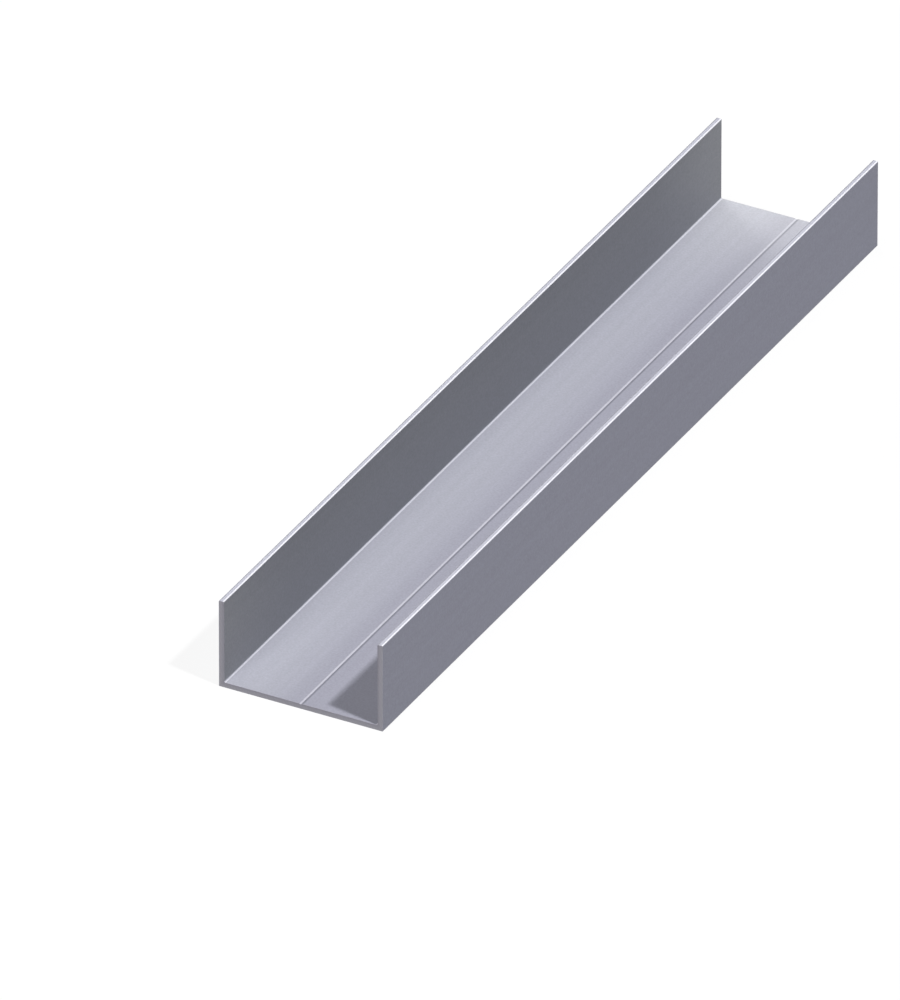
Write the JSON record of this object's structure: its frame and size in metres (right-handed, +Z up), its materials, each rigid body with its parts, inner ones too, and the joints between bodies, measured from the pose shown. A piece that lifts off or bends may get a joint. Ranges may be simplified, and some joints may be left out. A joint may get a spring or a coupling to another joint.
{
  "type": "metal channel section",
  "caption": "Extruded aluminium channel: a flat web between two upright flanges, square-cut ends, and a fine drill line along the middle of the web's inside face.",
  "frame": {"origin": "middle of the web's underside", "axes": "+X across the section, +Y along the bar, +Z up from the web towards the flange tops"},
  "size_m": [0.0434, 0.25, 0.0234],
  "materials": {
    "channel_section": "satin, as extruded and clear anodised"
  },
  "bodies": {
    "root": {"channel_section": "channel_section"}
  },
  "joints": []
}
